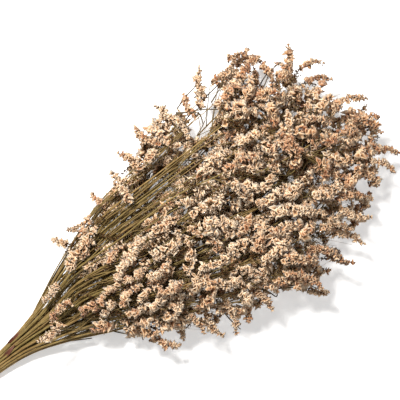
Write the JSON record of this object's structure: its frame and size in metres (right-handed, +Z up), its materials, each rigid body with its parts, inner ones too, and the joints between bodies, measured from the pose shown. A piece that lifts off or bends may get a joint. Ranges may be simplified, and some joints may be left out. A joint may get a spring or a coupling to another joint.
{
  "type": "dried statice bunch",
  "caption": "Tied bunch of dried statice lying on its side: thin branched stems with curved spikes of papery peach-brown florets.",
  "frame": {"origin": "centre of the bounding box, on the surface that the bunch lies on", "axes": "+X along the bunch from the cut ends to the flowers, +Y across it, +Z up from the surface"},
  "size_m": [0.5779, 0.2827, 0.122],
  "materials": {
    "dried_spray": "matt, papery",
    "rubber_band": "dull natural rubber"
  },
  "bodies": {
    "root": {"spray_01": "dried_spray", "spray_02": "dried_spray", "spray_03": "dried_spray", "spray_04": "dried_spray", "spray_05": "dried_spray", "spray_06": "dried_spray", "spray_07": "dried_spray", "spray_08": "dried_spray", "spray_09": "dried_spray", "spray_10": "dried_spray", "spray_11": "dried_spray", "spray_12": "dried_spray", "spray_13": "dried_spray", "spray_14": "dried_spray", "spray_15": "dried_spray", "spray_16": "dried_spray", "spray_17": "dried_spray", "spray_18": "dried_spray", "spray_19": "dried_spray", "spray_20": "dried_spray", "spray_21": "dried_spray", "spray_22": "dried_spray", "spray_23": "dried_spray", "spray_24": "dried_spray", "spray_25": "dried_spray", "spray_26": "dried_spray", "spray_27": "dried_spray", "spray_28": "dried_spray", "spray_29": "dried_spray", "spray_30": "dried_spray", "spray_31": "dried_spray", "spray_32": "dried_spray", "spray_33": "dried_spray", "spray_34": "dried_spray", "spray_35": "dried_spray", "spray_36": "dried_spray", "spray_37": "dried_spray", "rubber_band": "rubber_band"}
  },
  "joints": []
}
